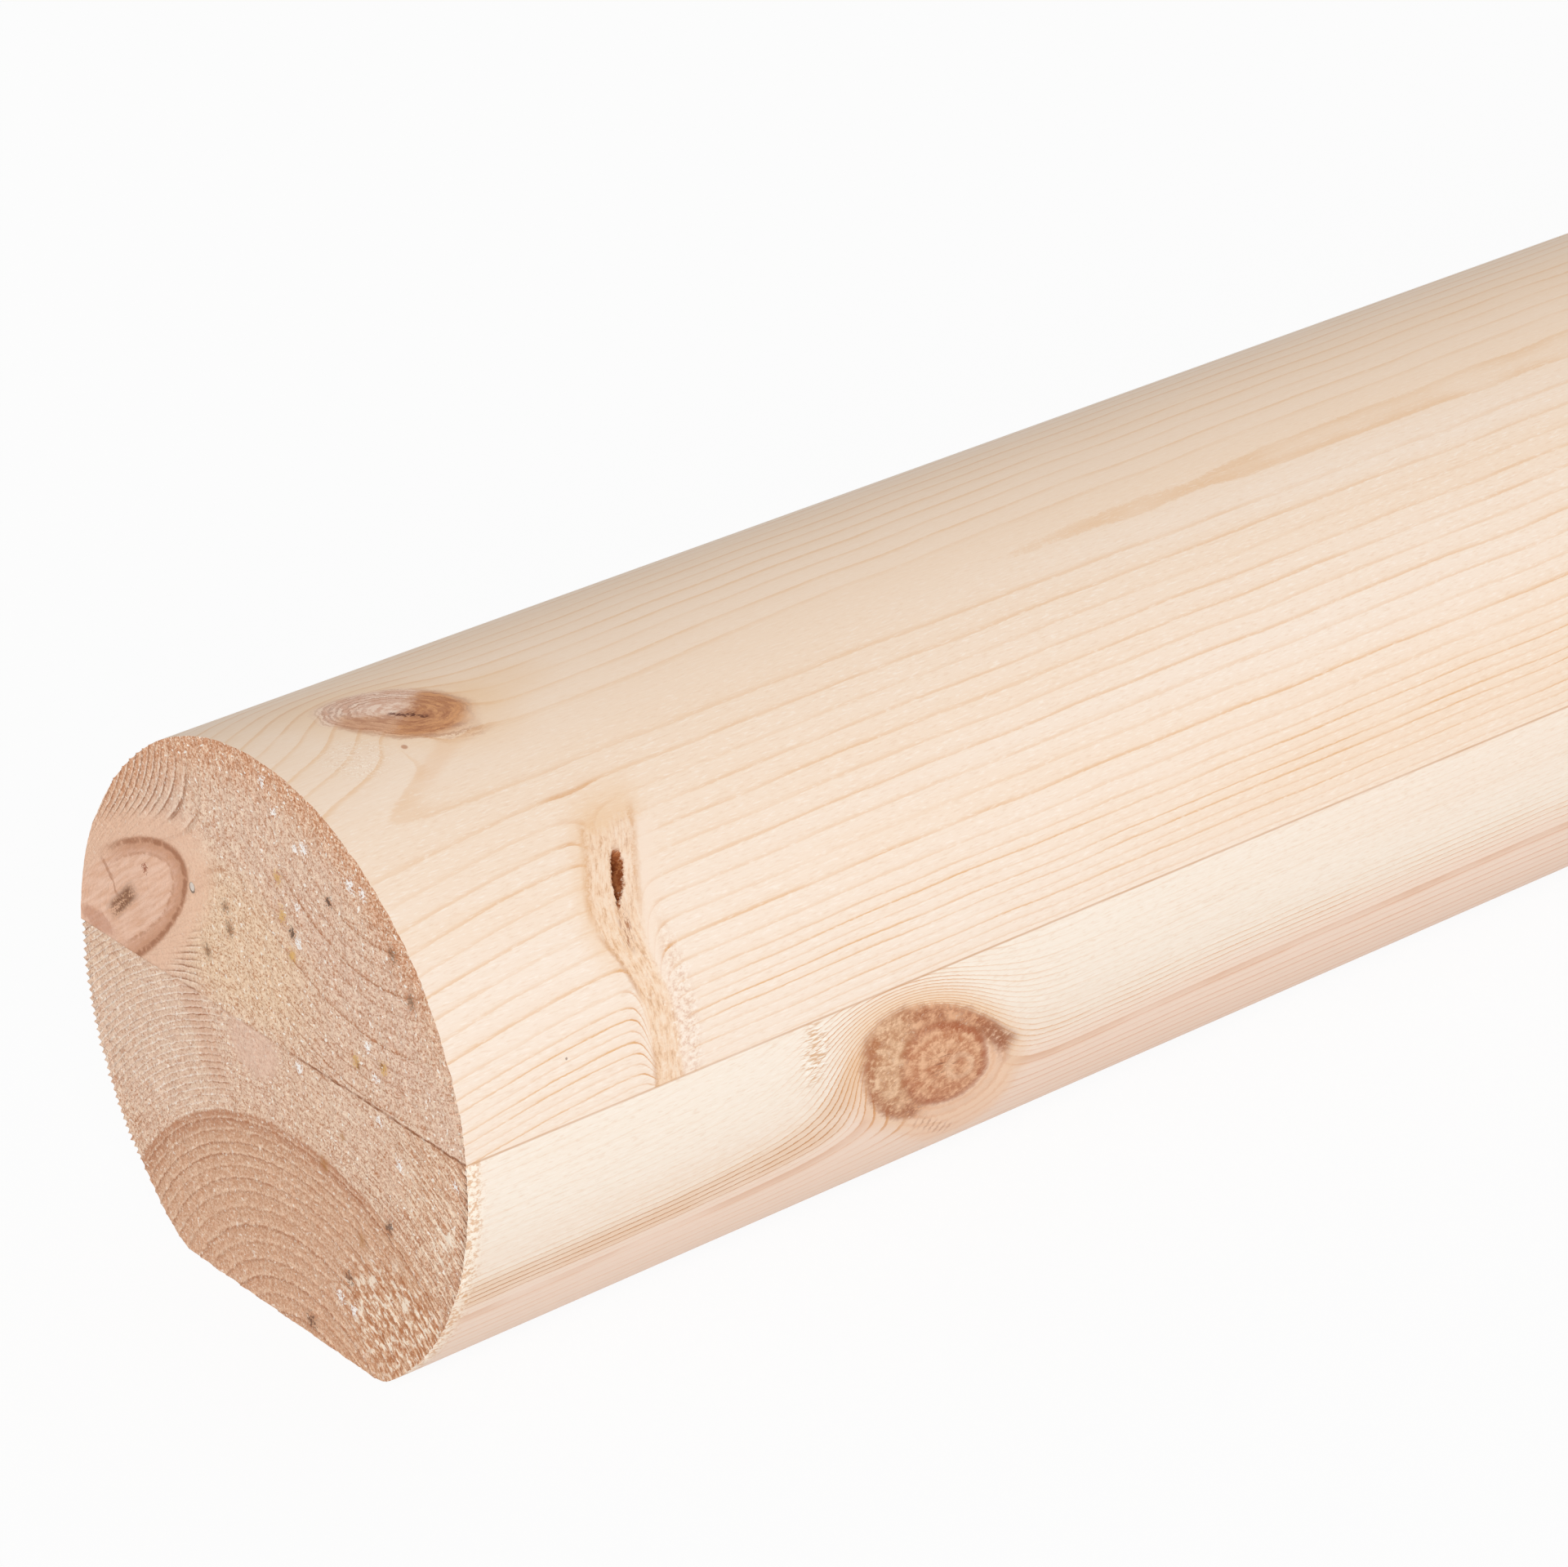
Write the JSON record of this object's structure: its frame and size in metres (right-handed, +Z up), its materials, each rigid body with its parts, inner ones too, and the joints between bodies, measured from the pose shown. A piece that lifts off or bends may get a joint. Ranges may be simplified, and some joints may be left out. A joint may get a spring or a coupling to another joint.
{
  "type": "stair handrail length",
  "caption": "Straight softwood stair handrail, oval to the hand with a flat underside for brackets, glued up from an upper and a lower board and sawn square at both ends.",
  "frame": {"origin": "middle of the underside flat, halfway along the rail", "axes": "+X along the rail, away from the end that shows its sawn face in the picture; +Z up from the underside flat to the crown"},
  "size_m": [1.5, 0.06, 0.058],
  "materials": {
    "pine": "matte"
  },
  "bodies": {
    "root": {"upper_lamella": "pine", "lower_lamella": "pine"}
  },
  "joints": []
}
